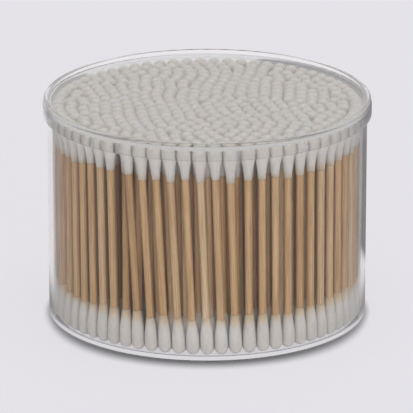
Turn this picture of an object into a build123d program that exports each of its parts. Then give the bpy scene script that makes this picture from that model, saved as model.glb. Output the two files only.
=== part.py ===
from build123d import *
import math
import os
import random
from itertools import combinations

# A round tub of clear plastic with a clear lid, packed full of upright cotton swabs.
# Millimetres, +Z up, the origin in the middle of the tub's foot, and the front towards -Y.

# Tub
tub_height = 77.1
tub_mouth_radius = 56.4
tub_foot_radius = 56.2
tub_wall = 1.4
tub_floor = 1.7
foot_round = 1.4
floor_corner_round = 0.8
mouth_round = 0.4

# Lid
panel_thickness = 1.2
skirt_clearance = 0.25
skirt_wall = 1.05
skirt_depth = 3.4
skirt_step = 0.3
skirt_step_height = 3.5
rim_rise = 1.5
rim_width = 1.9
rim_outer_round = 0.8
rim_inner_round = 0.4
skirt_foot_round = 0.25

# Swab
swab_length = 75.0
stick_diameter = 2.5
bud_diameter = 4.5
bud_length = 12.8
bud_belly_height = 3.8
bud_shoulder_height = 7.2
bud_shoulder_diameter = 4.1
neck_diameter = 2.8
tip_cover = 1.6
socket_clearance = 0.1

# Packing
swab_gap = 0.14
wall_gap = 0.2
ring_gap = 0.25
fill_share = 0.81
straying = 0.9
settling_rounds = 240
listing_rounds = 8
packing_seed = 31
bundles = 17

# Around the front the upper ends lean to the left, as far as one crowded swab that has slipped behind its
# neighbours. Angles are degrees from the front, anticlockwise seen from above.
crowd_angle = -32.0
gap_angle = 12.5
lean_end_angle = 75.0
lean_at_crowd = 4.3
lean_at_gap = 2.0
lean_before_crowd = 1.9
lean_past_gap = 0.8
slipped_in = 3.5
slipped_lean = 2.3

# Worked out
bud_radius = bud_diameter / 2
spacing = bud_diameter + swab_gap
lid_height = tub_height + panel_thickness + rim_rise
skirt_inner_radius = tub_mouth_radius + skirt_clearance
skirt_outer_radius = skirt_inner_radius + skirt_wall
skirt_foot_radius = skirt_outer_radius + skirt_step
skirt_foot_height = tub_height - skirt_depth
rim_inner_radius = skirt_outer_radius - rim_width
panel_height = tub_height + panel_thickness
widest_height = (bud_radius + bud_belly_height) / 2
belly_rise = swab_length - 2 * widest_height
low_level = tub_floor + swab_gap + widest_height
high_level = low_level + belly_rise


def wall_radius(height):
    """The inner radius of the tub's wall at a height: the wall opens a little towards its mouth."""
    draft = (tub_mouth_radius - tub_foot_radius) / tub_height
    return tub_foot_radius - tub_wall + draft * height


low_reach = wall_radius(low_level) - bud_radius - wall_gap
high_reach = wall_radius(high_level) - bud_radius - wall_gap


def turned(radius, angle):
    """A spot at a radius and an angle in degrees from the front."""
    direction = math.radians(angle)
    return (radius * math.sin(direction), -radius * math.cos(direction))


def settle(standing, loose, reach):
    """Pushes loose spots apart, and away from standing ones, until none is nearer than the spacing."""
    spots = [list(spot) for spot in standing + loose]
    for turn in range(settling_rounds):
        if turn % listing_rounds == 0:
            near = [
                (first, second)
                for first, second in combinations(range(len(spots)), 2)
                if second >= len(standing) and math.dist(spots[first], spots[second]) < 2 * spacing
            ]
        for first, second in near:
            one, other = spots[first], spots[second]
            distance = math.dist(one, other)
            if distance < spacing:
                both_move = first >= len(standing)
                push = (spacing - distance) / distance / (2 if both_move else 1)
                step_x = (other[0] - one[0]) * push
                step_y = (other[1] - one[1]) * push
                other[0] += step_x
                other[1] += step_y
                if both_move:
                    one[0] -= step_x
                    one[1] -= step_y
        for spot in spots[len(standing):]:
            outward = math.hypot(*spot)
            if outward > reach:
                spot[0] *= reach / outward
                spot[1] *= reach / outward
    return [tuple(spot) for spot in spots[len(standing):]]


def lean(angle):
    """How far an upper end at an angle from the front leans to the left."""
    if abs(angle) > lean_end_angle:
        return 0.0
    if angle < crowd_angle:
        return lean_before_crowd * (lean_end_angle + angle) / (lean_end_angle + crowd_angle)
    if angle > gap_angle:
        return lean_past_gap * (lean_end_angle - angle) / (lean_end_angle - gap_angle)
    share = (angle - crowd_angle) / (gap_angle - crowd_angle)
    return lean_at_crowd + share * (lean_at_gap - lean_at_crowd)


# The outer ring stands against the wall, and the other swabs fill the room inside it.
dice = random.Random(packing_seed)
ring_count = int(2 * math.pi * low_reach / (spacing + ring_gap))
ring_angles = [360 / ring_count * (index - ring_count // 2) for index in range(ring_count)]
crowded = min(range(ring_count), key=lambda index: abs(ring_angles[index] - crowd_angle))
ring_bottoms = [turned(low_reach, angle) for angle in ring_angles]
ring_tops = [turned(high_reach, angle - math.degrees(lean(angle) / high_reach)) for angle in ring_angles]
slipped_angle = ring_angles[crowded] - math.degrees(slipped_lean / high_reach)
ring_tops[crowded] = turned(high_reach - slipped_in, slipped_angle)

fill_count = int(fill_share * ((2 * low_reach + spacing) / spacing) ** 2) - ring_count
golden_turn = 180 * (3 - math.sqrt(5))
strewn = []
for index in range(fill_count):
    outward = (low_reach - spacing) * math.sqrt((index + 1) / fill_count)
    x, y = turned(outward, index * golden_turn)
    strewn.append((x + dice.uniform(-straying, straying), y + dice.uniform(-straying, straying)))
fill_bottoms = settle(ring_bottoms, strewn, low_reach)

leaning = []
for x, y in fill_bottoms:
    outward = math.hypot(x, y) / low_reach
    shift = lean(math.degrees(math.atan2(x, -y))) * outward**3
    stray_x, stray_y = dice.uniform(-straying, straying), dice.uniform(-straying, straying)
    leaning.append((x - shift + stray_x, y + stray_y))
fill_tops = settle(ring_tops, leaning, high_reach)

# Each swab stands on the floor and leans from its lower belly to its upper one.
swabs = []
for bottom, top in zip(ring_bottoms + fill_bottoms, ring_tops + fill_tops):
    lean_x, lean_y = top[0] - bottom[0], top[1] - bottom[1]
    upward = math.sqrt(belly_rise**2 - lean_x**2 - lean_y**2)
    axis = Vector(lean_x, lean_y, upward).normalized()
    foot = Vector(bottom[0], bottom[1], low_level) - axis * widest_height
    swabs.append(Plane(origin=foot, z_dir=axis).location)
swabs.sort(key=lambda place: place.position.Y)

os.makedirs("parts", exist_ok=True)

# The tub's section is drawn on the right of its axis and turned once round.
with BuildPart() as tub:
    with BuildSketch(Plane.XZ):
        with BuildLine():
            Polyline(
                (0, 0),
                (tub_foot_radius, 0),
                (tub_mouth_radius, tub_height),
                (tub_mouth_radius - tub_wall, tub_height),
                (wall_radius(tub_floor), tub_floor),
                (0, tub_floor),
                close=True,
            )
        make_face()
        fillet(vertices().sort_by_distance((tub_foot_radius, 0))[0], foot_round)
        fillet(vertices().sort_by_distance((wall_radius(tub_floor), tub_floor))[0], floor_corner_round)
        fillet(vertices().sort_by_distance((tub_mouth_radius, tub_height))[0], mouth_round)
        fillet(vertices().sort_by_distance((tub_mouth_radius - tub_wall, tub_height))[0], mouth_round)
    revolve(axis=Axis.Z)
tub.part.label = "tub"
export_step(tub.part, "parts/tub.step")

# The lid's panel lies on the tub's mouth, its rim stands up round the panel, and its skirt hangs over the wall.
with BuildPart() as lid:
    with BuildSketch(Plane.XZ):
        with BuildLine():
            Polyline(
                (0, tub_height),
                (skirt_inner_radius, tub_height),
                (skirt_inner_radius, skirt_foot_height),
                (skirt_foot_radius, skirt_foot_height),
                (skirt_foot_radius, skirt_foot_height + skirt_step_height),
                (skirt_outer_radius, skirt_foot_height + skirt_step_height + skirt_step),
                (skirt_outer_radius, lid_height),
                (rim_inner_radius, lid_height),
                (rim_inner_radius, panel_height),
                (0, panel_height),
                close=True,
            )
        make_face()
        fillet(vertices().sort_by_distance((skirt_outer_radius, lid_height))[0], rim_outer_round)
        fillet(vertices().sort_by_distance((rim_inner_radius, lid_height))[0], rim_inner_round)
        fillet(vertices().sort_by_distance((rim_inner_radius, panel_height))[0], rim_inner_round)
        fillet(vertices().sort_by_distance((skirt_foot_radius, skirt_foot_height))[0], skirt_foot_round)
    revolve(axis=Axis.Z)
lid.part.label = "lid"
export_step(lid.part, "parts/lid.step")

# One swab, upright on the origin: the stick ends short of both tips, inside the buds.
with BuildPart(Plane.XY.offset(tip_cover)) as stick:
    Cylinder(
        stick_diameter / 2,
        swab_length - 2 * tip_cover,
        align=(Align.CENTER, Align.CENTER, Align.MIN),
    )

with BuildPart() as lower_bud:
    with BuildSketch(Plane.XZ):
        with BuildLine():
            tip = CenterArc((0, bud_radius), bud_radius, -90, 90)
            belly = Line(tip @ 1, (bud_radius, bud_belly_height))
            shoulder_end = (bud_shoulder_diameter / 2, bud_shoulder_height)
            shoulder = TangentArc(belly @ 1, shoulder_end, tangent=belly % 1)
            Polyline(shoulder @ 1, (neck_diameter / 2, bud_length), (0, bud_length), tip @ 0)
        make_face()
    revolve(axis=Axis.Z)
    with Locations((0, 0, bud_length)):
        Hole(stick_diameter / 2 + socket_clearance, bud_length - tip_cover + socket_clearance)

with BuildPart() as upper_bud:
    add(mirror(lower_bud.part, about=Plane.XY.offset(swab_length / 2), mode=Mode.PRIVATE))

# The swabs are written in bundles, from the front of the tub to the back.
for number in range(bundles):
    bundle = swabs[len(swabs) * number // bundles : len(swabs) * (number + 1) // bundles]
    for name, piece in (("sticks", stick), ("lower_buds", lower_bud), ("upper_buds", upper_bud)):
        with BuildPart() as group:
            with Locations(*bundle):
                add(piece.part, mode=Mode.REPLACE)
        group.part.label = f"{name}_{number + 1:02d}"
        export_step(group.part, f"parts/{group.part.label}.step")
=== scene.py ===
import math
import random
import bmesh
import bpy
import numpy as np
from mathutils import Matrix, Vector


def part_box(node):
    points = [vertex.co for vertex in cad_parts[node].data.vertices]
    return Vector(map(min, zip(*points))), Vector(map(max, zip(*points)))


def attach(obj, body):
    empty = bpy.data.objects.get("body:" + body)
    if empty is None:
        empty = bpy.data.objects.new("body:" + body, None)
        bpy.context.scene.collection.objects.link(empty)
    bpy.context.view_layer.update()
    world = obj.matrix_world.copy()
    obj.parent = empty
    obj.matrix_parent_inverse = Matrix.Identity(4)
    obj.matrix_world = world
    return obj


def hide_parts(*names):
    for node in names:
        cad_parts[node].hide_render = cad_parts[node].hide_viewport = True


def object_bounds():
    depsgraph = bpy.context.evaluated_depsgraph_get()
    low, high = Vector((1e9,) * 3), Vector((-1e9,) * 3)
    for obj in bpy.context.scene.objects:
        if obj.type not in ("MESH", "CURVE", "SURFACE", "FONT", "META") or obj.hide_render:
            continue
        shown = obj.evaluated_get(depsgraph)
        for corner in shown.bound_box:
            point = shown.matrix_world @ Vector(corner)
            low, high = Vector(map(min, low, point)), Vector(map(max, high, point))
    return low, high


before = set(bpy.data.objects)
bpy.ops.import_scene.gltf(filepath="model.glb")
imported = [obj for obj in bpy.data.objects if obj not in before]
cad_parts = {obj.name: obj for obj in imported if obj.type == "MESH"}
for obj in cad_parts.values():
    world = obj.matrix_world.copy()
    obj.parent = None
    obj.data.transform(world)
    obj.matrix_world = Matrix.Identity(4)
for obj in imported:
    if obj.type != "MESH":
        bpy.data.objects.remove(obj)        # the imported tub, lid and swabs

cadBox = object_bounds()
tubLow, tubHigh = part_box("tub")
lidLow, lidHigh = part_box("lid")
swabLength = 0.075  # in metres, as every length here
print("frame loaded:", len(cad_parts), "nodes")


# Camera: where the photograph was taken from, two metres away with a long lens
cameraValues = {
    "distance": 2.002,
    "height": 0.6963,
    "downwardPitch": 0.31736,
    "focalPixels": 5945.6,
    "imagePixels": 413,
    "sensorWidth": 36.0,
    "axisPixelX": 207.2,
    "axisPixelY": 206.1,
}


def addCamera():
    values = cameraValues
    camera = bpy.data.objects.new("photoCamera", bpy.data.cameras.new("photoCamera"))
    bpy.context.scene.collection.objects.link(camera)
    camera.location = (0, -values["distance"], values["height"])
    camera.rotation_euler = (math.pi / 2 - values["downwardPitch"], 0, 0)
    camera.data.sensor_width = values["sensorWidth"]
    camera.data.lens = values["focalPixels"] / values["imagePixels"] * values["sensorWidth"]
    middle = values["imagePixels"] / 2
    camera.data.shift_x = (middle - values["axisPixelX"]) / values["imagePixels"]
    camera.data.shift_y = (values["axisPixelY"] - middle) / values["imagePixels"]
    bpy.context.scene.camera = camera


addCamera()
print("camera ready")


# Small helpers for materials
def newMaterial(name):
    material = bpy.data.materials.new(name)
    material.use_nodes = True
    tree = material.node_tree
    tree.nodes.clear()
    return material, tree


def addNode(tree, kind, inputs=None, **settings):
    # inputs are socket values or the sockets that feed them, settings are the node's own properties
    node = tree.nodes.new(kind)
    for name, value in settings.items():
        setattr(node, name, value)
    for name, value in (inputs or {}).items():
        if isinstance(value, bpy.types.NodeSocket):
            tree.links.new(value, node.inputs[name])
        else:
            node.inputs[name].default_value = value
    return node


def calculate(tree, operation, first, second=0.0):
    return addNode(tree, "ShaderNodeMath", {0: first, 1: second}, operation=operation).outputs[0]


def mapRange(tree, value, low, high, newLow, newHigh, smooth=False):
    node = addNode(
        tree,
        "ShaderNodeMapRange",
        {"Value": value, "From Min": low, "From Max": high, "To Min": newLow, "To Max": newHigh},
        interpolation_type="SMOOTHSTEP" if smooth else "LINEAR",
        clamp=True,
    )
    return node.outputs["Result"]


def mixColours(tree, share, first, second, blend="MIX"):
    # in a colour mix, inputs 6 and 7 are the colours and output 2 is the result
    inputs = {0: share, 6: first, 7: second}
    return addNode(tree, "ShaderNodeMix", inputs, data_type="RGBA", blend_type=blend).outputs[2]


def mixShaders(tree, share, first, second):
    return addNode(tree, "ShaderNodeMixShader", {0: share, 1: first, 2: second}).outputs[0]


def colourRamp(tree, value, stops):
    node = addNode(tree, "ShaderNodeValToRGB", {"Fac": value})
    elements = node.color_ramp.elements
    while len(elements) < len(stops):
        elements.new(0.5)
    for element, (place, colour) in zip(elements, stops):
        element.position = place
        element.color = (*colour, 1)
    return node.outputs["Color"]


def addNoise(tree, place, scale, detail, roughness=0.5):
    inputs = {"Vector": place, "Scale": scale, "Detail": detail, "Roughness": roughness}
    return addNode(tree, "ShaderNodeTexNoise", inputs).outputs[0]


def addBump(tree, height, strength, distance):
    inputs = {"Height": height, "Strength": strength, "Distance": distance}
    return addNode(tree, "ShaderNodeBump", inputs).outputs[0]


# Clear moulded plastic: it bends light, and lets the lamps and soft light through to the swabs
plasticValues = {
    "tubTint": (0.985, 0.99, 0.99, 1),
    "lidTint": (0.965, 0.965, 0.958, 1),
    "shadowTint": (0.97, 0.975, 0.98, 1),
    "tubRoughness": 0.015,
    "lidRoughness": 0.10,
    "tubDeepestBend": 2.5,  # past this many surfaces a ray goes straight on
    "lidDeepestBend": 3.5,
    "ior": 1.49,
    "rippleSize": 45.0,
    "rippleDetail": 1.0,
    "rippleBump": 0.02,
    "rippleDepth": 0.0004,
}


def makePlastic(name, piece):
    values = plasticValues
    material, tree = newMaterial(name)
    place = addNode(tree, "ShaderNodeTexCoord").outputs["Object"]
    ripple = addNoise(tree, place, values["rippleSize"], values["rippleDetail"])
    clear = addNode(
        tree,
        "ShaderNodeBsdfPrincipled",
        {
            "Base Color": values[piece + "Tint"],
            "Roughness": values[piece + "Roughness"],
            "IOR": values["ior"],
            "Transmission Weight": 1.0,
            "Normal": addBump(tree, ripple, values["rippleBump"], values["rippleDepth"]),
        },
    )
    through = addNode(tree, "ShaderNodeBsdfTransparent", {"Color": values["shadowTint"]})
    rays = addNode(tree, "ShaderNodeLightPath").outputs
    soft = calculate(tree, "MAXIMUM", rays["Is Shadow Ray"], rays["Is Diffuse Ray"])
    # light caught inside a thick edge comes out again instead of ending there in black
    caught = calculate(tree, "GREATER_THAN", rays["Ray Depth"], values[piece + "DeepestBend"])
    straight = calculate(tree, "MAXIMUM", soft, caught)
    surface = mixShaders(tree, straight, clear.outputs[0], through.outputs[0])
    addNode(tree, "ShaderNodeOutputMaterial", {"Surface": surface})
    return material


# Bamboo: fine straight grain along the stick, another tone on each stick, and small brown knots
bambooValues = {
    "tones": [
        # share of the sticks up to this tone, colour
        (0.0, (0.46, 0.275, 0.13)),
        (0.25, (0.61, 0.395, 0.205)),
        (0.55, (0.61, 0.395, 0.205)),
        (0.75, (0.62, 0.42, 0.25)),
        (1.0, (0.68, 0.52, 0.32)),
    ],
    "streak": (0.62, 0.5, 0.38, 1),
    "streakShare": 0.75,
    "streakStart": 0.6,
    "streakFull": 0.35,
    "grainAcross": 2400.0,
    "grainAlong": 0.02,
    "grainDetail": 4.0,
    "grainRoughness": 0.6,
    "knot": (0.12, 0.05, 0.02, 1),
    "knotCells": 150.0,
    "knotAlong": 0.35,
    "knotRadius": 0.09,
    "knotLeftOut": 0.9,  # the share of the cells that hold no knot
    "bumpStrength": 0.35,
    "bumpDistance": 0.00008,
    "roughness": 0.62,
}


def readAttribute(tree, name, output):
    return addNode(tree, "ShaderNodeAttribute", attribute_name=name).outputs[output]


def swabPattern(tree, squeeze):
    # the swab's own coordinates, squeezed along the stick and shifted by its tone, so that no two
    # swabs are alike
    place = readAttribute(tree, "swabPlace", "Vector")
    tone = readAttribute(tree, "swabTone", "Fac")
    squeezed = addNode(
        tree, "ShaderNodeVectorMath", {0: place, 1: (1, 1, squeeze)}, operation="MULTIPLY"
    )
    shift = addNode(tree, "ShaderNodeCombineXYZ", {"X": tone, "Y": tone, "Z": tone})
    moved = addNode(
        tree,
        "ShaderNodeVectorMath",
        {0: squeezed.outputs[0], 1: shift.outputs[0]},
        operation="ADD",
    )
    return moved.outputs[0]


def makeBamboo():
    values = bambooValues
    material, tree = newMaterial("bamboo")
    tone = readAttribute(tree, "swabTone", "Fac")
    hue = addNode(tree, "ShaderNodeTexWhiteNoise", {"W": tone}, noise_dimensions="1D")
    base = colourRamp(tree, hue.outputs["Value"], values["tones"])
    grain = addNoise(
        tree,
        swabPattern(tree, values["grainAlong"]),
        values["grainAcross"],
        values["grainDetail"],
        values["grainRoughness"],
    )
    streaks = mapRange(
        tree, grain, values["streakFull"], values["streakStart"], values["streakShare"], 0.0
    )
    streaked = mixColours(tree, streaks, base, values["streak"], "MULTIPLY")
    knots = addNode(
        tree,
        "ShaderNodeTexVoronoi",
        {"Vector": swabPattern(tree, values["knotAlong"]), "Scale": values["knotCells"]},
        feature="F1",
    )
    near = calculate(tree, "LESS_THAN", knots.outputs["Distance"], values["knotRadius"])
    draw = addNode(tree, "ShaderNodeSeparateColor", {0: knots.outputs["Color"]}).outputs[0]
    chosen = calculate(tree, "GREATER_THAN", draw, values["knotLeftOut"])
    knotted = mixColours(tree, calculate(tree, "MULTIPLY", near, chosen), streaked, values["knot"])
    wood = addNode(
        tree,
        "ShaderNodeBsdfPrincipled",
        {
            "Base Color": knotted,
            "Roughness": values["roughness"],
            "Normal": addBump(tree, grain, values["bumpStrength"], values["bumpDistance"]),
        },
    )
    addNode(tree, "ShaderNodeOutputMaterial", {"Surface": wood.outputs[0]})
    return material


# Cotton: matt and a little fuzzy, with faint fibres along the bud. Light sinks into it, and the
# wood shows through where it thins out on the stick.
cottonValues = {
    "paleTone": (0.65, 0.615, 0.575),
    "shadedTone": (0.59, 0.555, 0.515),
    "shadeRange": (0.75, 1.25),  # fibres and fuzz added up, from shaded to pale
    "thinTone": (0.60, 0.44, 0.28, 1),
    "thinStart": 0.0096,
    "thinEnd": 0.0130,
    "thinUneven": 0.0008,
    "thinShare": 0.9,
    "unevenRange": (0.3, 0.7),  # the fibres between which the thinning comes and goes
    "fibreAcross": 1100.0,
    "fibreAlong": 0.15,
    "fibreDetail": 3.0,
    "fuzz": 900.0,
    "bumpStrength": 0.5,
    "bumpDistance": 0.00015,
    "roughness": 0.95,
    "sheen": 0.25,
    "depthShare": 0.9,
    "depthColour": (1.0, 0.8, 0.6),
    "depth": 0.003,
}


def makeCotton():
    values = cottonValues
    material, tree = newMaterial("cotton")
    place = readAttribute(tree, "swabPlace", "Vector")
    fibrePlace = swabPattern(tree, values["fibreAlong"])
    fibres = addNoise(tree, fibrePlace, values["fibreAcross"], values["fibreDetail"])
    fuzz = addNoise(tree, place, values["fuzz"], values["fibreDetail"])
    height = calculate(tree, "ADD", fibres, fuzz)
    shade = mapRange(tree, height, *values["shadeRange"], 0.0, 1.0)
    thick = colourRamp(tree, shade, [(0.0, values["shadedTone"]), (1.0, values["paleTone"])])
    # the wood shows through by the distance from the nearer tip
    along = addNode(tree, "ShaderNodeSeparateXYZ", {0: place}).outputs["Z"]
    fromTip = calculate(tree, "MINIMUM", along, calculate(tree, "SUBTRACT", swabLength, along))
    spread = values["thinUneven"]
    uneven = mapRange(tree, fibres, *values["unevenRange"], -spread, spread)
    ragged = calculate(tree, "ADD", fromTip, uneven)
    thin = mapRange(
        tree, ragged, values["thinStart"], values["thinEnd"], 0.0, values["thinShare"]
    )
    wound = addNode(
        tree,
        "ShaderNodeBsdfPrincipled",
        {
            "Base Color": mixColours(tree, thin, thick, values["thinTone"]),
            "Roughness": values["roughness"],
            "Sheen Weight": values["sheen"],
            "Subsurface Weight": values["depthShare"],
            "Subsurface Radius": values["depthColour"],
            "Subsurface Scale": values["depth"],
            "Normal": addBump(tree, height, values["bumpStrength"], values["bumpDistance"]),
        },
    )
    addNode(tree, "ShaderNodeOutputMaterial", {"Surface": wound.outputs[0]})
    return material


tubPlastic = makePlastic("clearTubPlastic", "tub")
lidPlastic = makePlastic("clearLidPlastic", "lid")
bamboo = makeBamboo()
cotton = makeCotton()
print("materials ready")


# Small helpers for modelling
nearEnough = 0.00003  # two places closer than this count as the same
flatEnough = 0.9  # a face is flat when its normal stands up at least this much
sharpAngle = math.radians(50)  # an edge that turns further than this stays sharp


def onlySelect(*pieces):
    bpy.ops.object.select_all(action="DESELECT")
    for piece in pieces:
        piece.select_set(True)
    bpy.context.view_layer.objects.active = pieces[0]


def startPiece(name):
    # names the new primitive, sets its place into its mesh, and opens it for editing
    piece = bpy.context.object
    piece.name = name
    bpy.ops.object.transform_apply(location=True, rotation=True, scale=True)
    bpy.ops.object.mode_set(mode="EDIT")
    return piece


def setMaterial(piece, material):
    piece.data.materials.clear()
    piece.data.materials.append(material)


def pick(piece, mode, test):
    # in edit mode, selects only the vertices, edges or faces that pass the test
    bpy.ops.mesh.select_mode(type=mode)
    bpy.ops.mesh.select_all(action="DESELECT")
    work = bmesh.from_edit_mesh(piece.data)
    for part in {"VERT": work.verts, "EDGE": work.edges, "FACE": work.faces}[mode]:
        part.select_set(test(part))
    work.select_flush_mode()
    bmesh.update_edit_mesh(piece.data)


def ringAt(radius, height):
    # a test for the edges that run round the axis at that radius and height
    def onRing(spot):
        outward = math.hypot(spot.x, spot.y)
        return abs(outward - radius) < nearEnough and abs(spot.z - height) < nearEnough

    return lambda edge: all(onRing(vertex.co) for vertex in edge.verts)


def flatAt(height):
    # a test for the faces that lie flat at that height
    def onLevel(face):
        away = abs(face.calc_center_median().z - height)
        return abs(face.normal.z) > flatEnough and away < nearEnough

    return onLevel


def extrudeBy(rise):
    bpy.ops.mesh.extrude_region_move(TRANSFORM_OT_translate={"value": (0, 0, rise)})


def widenBy(factor):
    bpy.ops.transform.resize(value=(factor, factor, 1), center_override=(0, 0, 0))


def roundRing(piece, radius, height, size, steps):
    pick(piece, "EDGE", ringAt(radius, height))
    bpy.ops.mesh.bevel(offset=size, segments=steps, affect="EDGES")


def finishShell(piece, plastic):
    bpy.ops.object.mode_set(mode="OBJECT")
    bpy.ops.object.shade_smooth_by_angle(angle=sharpAngle)
    normals = piece.modifiers.new("flatFacesStayFlat", "WEIGHTED_NORMAL")
    normals.keep_sharp = True
    bpy.ops.object.modifier_apply(modifier=normals.name)
    setMaterial(piece, plastic)


# Tub: a wide cup with a thin wall, a flat floor and rounded edges
tubValues = {
    "sides": 256,
    "mouthRadius": tubHigh.x,
    "footRadius": tubHigh.x - 0.0002,
    "wall": 0.0014,
    "floor": 0.0017,
    "footRound": 0.0014,
    "floorCornerRound": 0.0008,
    "mouthRound": 0.0004,
    "footSteps": 8,
    "smallSteps": 5,
}


def makeTub():
    values = tubValues
    height = tubHigh.z - tubLow.z
    mouth, foot = values["mouthRadius"], values["footRadius"]
    steps = values["smallSteps"]
    bpy.ops.object.select_all(action="DESELECT")
    bpy.ops.mesh.primitive_cylinder_add(
        vertices=values["sides"],
        radius=foot,
        depth=height,
        location=(0, 0, tubLow.z + height / 2),
    )
    tub = startPiece("clear_tub")
    pick(tub, "FACE", flatAt(height))
    widenBy(mouth / foot)
    bpy.ops.mesh.inset(thickness=values["wall"])
    extrudeBy(values["floor"] - height)
    opening = (mouth - foot) / height
    floorRadius = foot - values["wall"] + opening * values["floor"]
    widenBy(floorRadius / (mouth - values["wall"]))
    roundRing(tub, foot, 0, values["footRound"], values["footSteps"])
    roundRing(tub, floorRadius, values["floor"], values["floorCornerRound"], steps)
    roundRing(tub, mouth, height, values["mouthRound"], steps)
    roundRing(tub, mouth - values["wall"], height, values["mouthRound"], steps)
    finishShell(tub, tubPlastic)
    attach(tub, "tub")
    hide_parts("tub")


# Lid: a flat panel with a raised rim, and a stepped skirt that hangs over the tub's mouth
lidValues = {
    "sides": 256,
    "footRadius": lidHigh.x,
    "skirtRadius": lidHigh.x - 0.0003,
    "boreRadius": tubHigh.x + 0.00025,
    "rimRadius": lidHigh.x - 0.0022,
    "panel": 0.0012,
    "stepHeight": 0.0035,
    "step": 0.0003,
    "outerRound": 0.0008,
    "innerRound": 0.0004,
    "footRound": 0.00025,
    "outerSteps": 7,
    "smallSteps": 4,
}


def makeLid():
    values = lidValues
    foot, top = lidLow.z, lidHigh.z
    panelFoot = tubHigh.z
    panelTop = panelFoot + values["panel"]
    steps = values["smallSteps"]
    bpy.ops.object.select_all(action="DESELECT")
    bpy.ops.mesh.primitive_cylinder_add(
        vertices=values["sides"],
        radius=values["footRadius"],
        depth=values["stepHeight"],
        location=(0, 0, foot + values["stepHeight"] / 2),
    )
    lid = startPiece("clear_lid")
    pick(lid, "FACE", flatAt(foot + values["stepHeight"]))
    extrudeBy(values["step"])
    widenBy(values["skirtRadius"] / values["footRadius"])
    extrudeBy(top - foot - values["stepHeight"] - values["step"])
    bpy.ops.mesh.inset(thickness=values["skirtRadius"] - values["rimRadius"])
    extrudeBy(panelTop - top)
    pick(lid, "FACE", flatAt(foot))
    bpy.ops.mesh.inset(thickness=values["footRadius"] - values["boreRadius"])
    extrudeBy(panelFoot - foot)
    roundRing(lid, values["skirtRadius"], top, values["outerRound"], values["outerSteps"])
    roundRing(lid, values["rimRadius"], top, values["innerRound"], steps)
    roundRing(lid, values["rimRadius"], panelTop, values["innerRound"], steps)
    roundRing(lid, values["footRadius"], foot, values["footRound"], steps)
    finishShell(lid, lidPlastic)
    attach(lid, "lid")
    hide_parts("lid")


makeTub()
makeLid()
print("tub and lid ready")


# Swab: a bamboo stick with a wound cotton bud at each end, modelled once upright on the origin
swabValues = {
    "stickRadius": 0.00128,
    "stickSides": 12,
    "stickCuts": 3,
    "stickWidth": 1.035,  # the widths and stretches are factors of the modelled size
    "tipCover": 0.0016,
    "budRadius": 0.00225,
    "budLength": 0.0128,
    "budSides": 12,
    "budRings": 8,
    "lowerBellyHeight": 0.0044,
    "upperBellyHeight": 0.0038,
    # a bud's rings beyond its belly: share of the way to the neck, share of the bud's radius
    "lowerTaper": [(0.22, 0.98), (0.5, 0.85), (1.0, 0.59)],
    "upperTaper": [(0.16, 0.985), (0.5, 0.72), (1.0, 0.555)],
    "lowerBudStretch": 1.04,
    "upperBudStretch": 0.94,
    "budStretchSpread": 0.08,
    "budLeastWidth": 1.02,
    "budMostWidth": 1.05,
    "upperBudExtra": 0.035,
    "toneSeed": 11,
    "toneSpread": 10,
    "mergeDistance": 0.000002,
}
# kind of swab part in the frame, name of the visible piece, and its finish
swabKinds = [
    ("sticks", "bamboo_sticks", "bamboo"),
    ("lower_buds", "lower_cotton", "cotton"),
    ("upper_buds", "upper_cotton", "cotton"),
]


def makeStick():
    values = swabValues
    length = swabLength - 2 * values["tipCover"]
    bpy.ops.object.select_all(action="DESELECT")
    bpy.ops.mesh.primitive_cylinder_add(
        vertices=values["stickSides"],
        radius=values["stickRadius"],
        depth=length,
        location=(0, 0, swabLength / 2),
    )
    stick = startPiece("stickModel")
    pick(stick, "EDGE", lambda edge: abs(edge.verts[0].co.z - edge.verts[1].co.z) > length / 2)
    bpy.ops.mesh.subdivide(number_cuts=values["stickCuts"])
    bpy.ops.object.mode_set(mode="OBJECT")
    bpy.ops.object.shade_smooth_by_angle(angle=sharpAngle)
    setMaterial(stick, bamboo)
    return stick


def makeBud(name, end):
    # a sphere whose upper half is drawn out into a belly and a taper
    values = swabValues
    radius = values["budRadius"]
    belly = values[end + "BellyHeight"]
    taper = values["budLength"] - belly
    rings = [(belly + share * taper, width * radius) for share, width in values[end + "Taper"]]
    bpy.ops.object.select_all(action="DESELECT")
    bpy.ops.mesh.primitive_uv_sphere_add(
        segments=values["budSides"],
        ring_count=values["budRings"],
        radius=radius,
        location=(0, 0, radius),
    )
    bud = startPiece(name)
    half = values["budRings"] // 2
    for number in range(half, 0, -1):
        # from the top ring down, so that a moved ring isn't picked again
        turn = math.pi / 2 * number / half
        oldHeight, oldRadius = radius + radius * math.sin(turn), radius * math.cos(turn)
        newHeight, newRadius = (
            rings[number - 1] if number < half else (values["budLength"], oldRadius)
        )
        pick(bud, "VERT", lambda vertex: abs(vertex.co.z - oldHeight) < nearEnough)
        bpy.ops.transform.translate(value=(0, 0, newHeight - oldHeight))
        if number < half:
            widenBy(newRadius / oldRadius)
    bpy.ops.object.mode_set(mode="OBJECT")
    if end == "upper":
        upsideDown = Matrix.Diagonal((1, 1, -1, 1))
        bud.data.transform(Matrix.Translation((0, 0, swabLength)) @ upsideDown)
        bpy.ops.object.mode_set(mode="EDIT")
        bpy.ops.mesh.select_all(action="SELECT")
        bpy.ops.mesh.normals_make_consistent(inside=False)
        bpy.ops.object.mode_set(mode="OBJECT")
    bpy.ops.object.shade_smooth()
    setMaterial(bud, cotton)
    return bud


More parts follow.
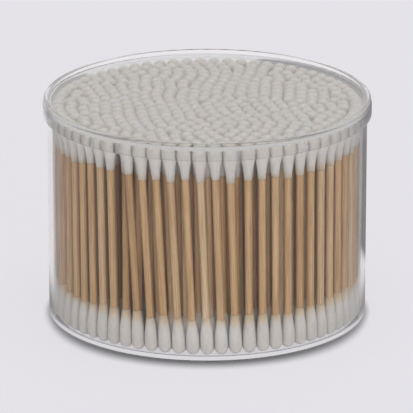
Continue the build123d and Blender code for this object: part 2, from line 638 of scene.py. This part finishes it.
def readPlaces(nodeName):
    # a merged copy of a stick node comes apart into its sticks, and each stick gives its swab's
    # foot and axis
    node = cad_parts[nodeName]
    copy = node.copy()
    copy.data = node.data.copy()
    copy.parent = None
    bpy.context.scene.collection.objects.link(copy)
    onlySelect(copy)
    bpy.ops.object.mode_set(mode="EDIT")
    bpy.ops.mesh.select_all(action="SELECT")
    bpy.ops.mesh.remove_doubles(threshold=swabValues["mergeDistance"])
    bpy.ops.mesh.separate(type="LOOSE")
    bpy.ops.object.mode_set(mode="OBJECT")
    places = []
    for stick in bpy.context.selected_objects:
        spots = np.array([vertex.co for vertex in stick.data.vertices])
        middle = (spots.min(axis=0) + spots.max(axis=0)) / 2
        axis = Vector(np.linalg.svd(spots - middle, full_matrices=False)[2][0])
        axis = axis if axis.z > 0 else -axis
        foot = Vector(middle) - axis * swabLength / 2
        places.append((foot, axis))
        old = stick.data
        bpy.data.objects.remove(stick)
        bpy.data.meshes.remove(old)
    places.sort(key=lambda place: (round(place[0].y, 6), round(place[0].x, 6)))
    return places


def placeCopy(model, matrix, turn, width, stretch, tip, tone):
    # a copy with its own mesh, turned about its own axis and drawn out from its tip, that
    # remembers its own coordinates and tone
    mesh = model.data.copy()
    drawn = Matrix.Translation((0, 0, tip)) @ Matrix.Diagonal((width, width, stretch, 1))
    mesh.transform(Matrix.Rotation(turn, 4, "Z") @ drawn @ Matrix.Translation((0, 0, -tip)))
    spots = np.zeros(len(mesh.vertices) * 3, np.float32)
    mesh.vertices.foreach_get("co", spots)
    places = mesh.attributes.new("swabPlace", "FLOAT_VECTOR", "POINT")
    places.data.foreach_set("vector", spots)
    tones = mesh.attributes.new("swabTone", "FLOAT", "POINT")
    tones.data.foreach_set("value", np.full(len(mesh.vertices), tone, np.float32))
    mesh.transform(matrix)
    copy = bpy.data.objects.new(model.name, mesh)
    bpy.context.scene.collection.objects.link(copy)
    return copy


def makeSwabs():
    values = swabValues
    dice = random.Random(values["toneSeed"])
    models = {
        "sticks": makeStick(),
        "lower_buds": makeBud("lowerBudModel", "lower"),
        "upper_buds": makeBud("upperBudModel", "upper"),
    }
    total = 0
    for nodeName in sorted(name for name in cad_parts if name.startswith("sticks_")):
        bundle = nodeName.split("_")[1]
        copies = {kind: [] for kind in models}
        for foot, axis in readPlaces(nodeName):
            upright = Vector((0, 0, 1)).rotation_difference(axis).to_matrix().to_4x4()
            matrix = Matrix.Translation(foot) @ upright
            tone = dice.random() * values["toneSpread"]
            total += 1
            for kind, model in models.items():
                turn = dice.uniform(0, 2 * math.pi)
                width, stretch, tip = values["stickWidth"], 1, 0
                if kind != "sticks":
                    spread = values["budStretchSpread"]
                    width = dice.uniform(values["budLeastWidth"], values["budMostWidth"])
                    stretch = values["lowerBudStretch"] + dice.uniform(-spread, spread)
                if kind == "upper_buds":
                    width += values["upperBudExtra"]
                    stretch += values["upperBudStretch"] - values["lowerBudStretch"]
                    tip = swabLength
                copies[kind].append(placeCopy(model, matrix, turn, width, stretch, tip, tone))
        for kind, pieceName, slot in swabKinds:
            onlySelect(*copies[kind])
            bpy.ops.object.join()
            group = bpy.context.object
            group.name = pieceName + "_" + bundle
            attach(group, "tub")
            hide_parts(kind + "_" + bundle)
    for model in models.values():
        bpy.data.objects.remove(model)
    return total


print("swabs ready:", makeSwabs())


# Stage: a pale floor that looks evenly lit, with a soft painted shadow of the tub round its foot,
# which reaches furthest in front. What the plastic mirrors and bends is another look of the same
# floor: bright in a wedge that opens towards the back, with painted shade that is dimmer beside it
# and darkest close round the tub and in the corner at the back on the right.
stageValues = {
    "size": 6.0,
    "drop": 0.00015,
    "colour": (0.800, 0.784, 0.824, 1),
    "shownShare": 0.85,  # the lamps light the rest
    # the painted shadow: where it starts, how far it reaches, and how much light is left where it
    # starts
    "shadowStart": 0.0549,
    "frontReach": 0.0098,
    "sideReach": 0.0038,
    "frontLeft": 0.12,
    "sideLeft": 0.27,
    "frontTurn": (-0.95, -0.1),  # where the front's shadow becomes the sides'
    # what the plastic mirrors and bends, with painted shade beside the wedge, round the tub and in
    # the back corner
    "mirrored": (0.93, 0.91, 0.95, 1),
    "sideShade": (0.28, 0.27, 0.275, 1),
    "wedgeSlope": 0.53,
    "wedgeEdge": 0.02,
    "ownShade": (0.20, 0.19, 0.19, 1),
    "ownReach": 0.030,
    "cornerShade": (0.17, 0.17, 0.185, 1),
    "cornerX": (0.024, 0.040),
    "cornerSlope": 0.16,
    "cornerY": (0.050, 0.064),
    # under the tub: painted light, and a painted shadow in a darker ring under the edge of the foot
    "underPaintedLight": (0.86, 0.84, 0.87, 1),
    "edgeShade": (0.16, 0.16, 0.165, 1),
    "edgeRing": (0.0526, 0.0532, 0.0548, 0.0552),
}


def besideWedge(tree, across, back, edge):
    # 0 in the wedge that opens towards the back, 1 beside it and in front
    side = calculate(tree, "ABSOLUTE", across)
    opened = calculate(tree, "MULTIPLY", back, stageValues["wedgeSlope"])
    beyond = calculate(tree, "SUBTRACT", side, opened)
    return mapRange(tree, beyond, *edge, 0.0, 1.0, smooth=True)


def bandBetween(tree, value, ends):
    # 1 between the middle two ends, and 0 beyond the outer two
    rising = mapRange(tree, value, ends[0], ends[1], 0.0, 1.0)
    falling = mapRange(tree, value, ends[2], ends[3], 1.0, 0.0)
    return calculate(tree, "MULTIPLY", rising, falling)


def shownPaper(tree, back, outward):
    # the floor as the camera sees it, with a painted shadow round the foot
    values = stageValues
    facing = calculate(tree, "DIVIDE", back, outward)
    forward = mapRange(tree, facing, *values["frontTurn"], 1.0, 0.0, smooth=True)
    reach = mapRange(tree, forward, 0.0, 1.0, values["sideReach"], values["frontReach"])
    least = mapRange(tree, forward, 0.0, 1.0, values["sideLeft"], values["frontLeft"])
    past = calculate(tree, "SUBTRACT", outward, values["shadowStart"])
    away = calculate(tree, "DIVIDE", past, reach)
    opening = mapRange(tree, away, 0.0, 1.0, 0.0, 1.0, smooth=True)
    lifted = calculate(tree, "MULTIPLY", opening, calculate(tree, "SUBTRACT", 1.0, least))
    lit = calculate(tree, "ADD", lifted, least)
    return mixColours(tree, lit, (0, 0, 0, 1), values["colour"])


def mirroredFloor(tree, across, back, outward):
    # the floor as the plastic mirrors and bends it: painted shade beside the bright wedge, a
    # painted shadow close round the tub, and painted shade in the corner at the back on the right
    values = stageValues
    footRadius = tubValues["footRadius"]
    beside = besideWedge(tree, across, back, (footRadius, footRadius + values["wedgeEdge"]))
    room = mixColours(tree, beside, values["mirrored"], values["sideShade"])
    # a painted shadow of the tub close round its foot
    ownEnd = footRadius + values["ownReach"]
    near = mapRange(tree, outward, footRadius, ownEnd, 1.0, 0.0, smooth=True)
    outside = calculate(tree, "GREATER_THAN", outward, footRadius)
    own = calculate(tree, "MULTIPLY", near, outside)
    room = mixColours(tree, own, room, values["ownShade"])
    # painted shade in the corner at the back on the right
    slope = calculate(tree, "MULTIPLY", back, values["cornerSlope"])
    slanted = calculate(tree, "SUBTRACT", across, slope)
    right = mapRange(tree, slanted, *values["cornerX"], 0.0, 1.0)
    behind = mapRange(tree, back, *values["cornerY"], 0.0, 1.0)
    corner = calculate(tree, "MULTIPLY", right, behind)
    room = mixColours(tree, corner, room, values["cornerShade"])
    # under the tub, painted light with a ring of painted shadow under the edge of the foot
    edge = bandBetween(tree, outward, values["edgeRing"])
    under = mixColours(tree, edge, values["underPaintedLight"], values["edgeShade"])
    return mixColours(tree, outside, under, room)


def makeStage():
    values = stageValues
    bpy.ops.object.select_all(action="DESELECT")
    bpy.ops.mesh.primitive_plane_add(
        size=values["size"], location=(0, 0, cadBox[0][2] - values["drop"])
    )
    floor = bpy.context.object
    floor.name = "stageFloor"
    material, tree = newMaterial("stagePaper")
    place = addNode(tree, "ShaderNodeTexCoord").outputs["Object"]
    parts = addNode(tree, "ShaderNodeSeparateXYZ", {0: place}).outputs
    across, back = parts["X"], parts["Y"]
    flat = addNode(tree, "ShaderNodeCombineXYZ", {"X": across, "Y": back}).outputs[0]
    length = addNode(tree, "ShaderNodeVectorMath", {0: flat}, operation="LENGTH")
    outward = length.outputs["Value"]
    paper = shownPaper(tree, back, outward)
    room = mirroredFloor(tree, across, back, outward)
    rays = addNode(tree, "ShaderNodeLightPath").outputs
    colour = mixColours(tree, rays["Is Camera Ray"], room, paper)
    shown = addNode(tree, "ShaderNodeEmission", {"Color": colour, "Strength": 1.0})
    real = addNode(tree, "ShaderNodeBsdfDiffuse", {"Color": values["colour"]})
    seen = calculate(tree, "MAXIMUM", rays["Is Camera Ray"], rays["Is Glossy Ray"])
    seen = calculate(tree, "MAXIMUM", seen, rays["Is Transmission Ray"])
    share = calculate(tree, "MULTIPLY", seen, values["shownShare"])
    surface = mixShaders(tree, share, real.outputs[0], shown.outputs[0])
    addNode(tree, "ShaderNodeOutputMaterial", {"Surface": surface})
    floor.data.materials.append(material)


# Light: an even soft room, a large soft lamp above, another in front, and a weaker one behind.
# The plastic mirrors the room, brighter behind than elsewhere, and not the lamps.
lightValues = {
    "room": (0.97, 0.98, 1.0, 1),
    "roomStrength": 0.37,
    "mirroredRoom": (1.0, 0.98, 0.965, 1),
    "mirroredBack": 0.58,
    "mirroredSide": 0.27,
    "wedgeEdges": (-0.05, 0.2),
    "lamps": [
        # name, place, size, power
        ("topLamp", (0.05, -0.05, 1.2), (0.9, 0.9), 6.3),
        ("frontLamp", (0.1, -1.15, 0.22), (1.0, 0.35), 6.1),
        ("backLamp", (0.0, 1.15, 0.3), (0.8, 0.35), 3.6),
    ],
    "aim": (0, 0, 0.04),
}


def addBackground(tree, colour, strength):
    inputs = {"Color": colour, "Strength": strength}
    return addNode(tree, "ShaderNodeBackground", inputs).outputs[0]


def makeRoom():
    values = lightValues
    world = bpy.data.worlds.new("studio")
    bpy.context.scene.world = world
    world.use_nodes = True
    tree = world.node_tree
    tree.nodes.clear()
    direction = addNode(tree, "ShaderNodeTexCoord").outputs["Generated"]
    parts = addNode(tree, "ShaderNodeSeparateXYZ", {0: direction}).outputs
    beside = besideWedge(tree, parts["X"], parts["Y"], values["wedgeEdges"])
    glow = mapRange(tree, beside, 0.0, 1.0, values["mirroredBack"], values["mirroredSide"])
    room = addBackground(tree, values["room"], values["roomStrength"])
    mirrored = addBackground(tree, values["mirroredRoom"], glow)
    shown = addBackground(tree, stageValues["colour"], 1.0)
    rays = addNode(tree, "ShaderNodeLightPath").outputs
    bent = calculate(tree, "MAXIMUM", rays["Is Glossy Ray"], rays["Is Transmission Ray"])
    unseen = mixShaders(tree, bent, room, mirrored)
    surface = mixShaders(tree, rays["Is Camera Ray"], unseen, shown)
    addNode(tree, "ShaderNodeOutputWorld", {"Surface": surface})


def addLamps():
    aim = Vector(lightValues["aim"])
    for name, place, size, power in lightValues["lamps"]:
        lamp = bpy.data.objects.new(name, bpy.data.lights.new(name, "AREA"))
        bpy.context.scene.collection.objects.link(lamp)
        lamp.data.shape = "RECTANGLE"
        lamp.data.size, lamp.data.size_y = size
        lamp.data.energy = power
        lamp.location = place
        lamp.rotation_euler = (Vector(place) - aim).to_track_quat("Z", "Y").to_euler()
        lamp.visible_camera = False
        lamp.visible_glossy = lamp.visible_transmission = False


makeStage()
makeRoom()
addLamps()
bpy.context.scene.view_settings.view_transform = "Standard"
print("stage and light ready")
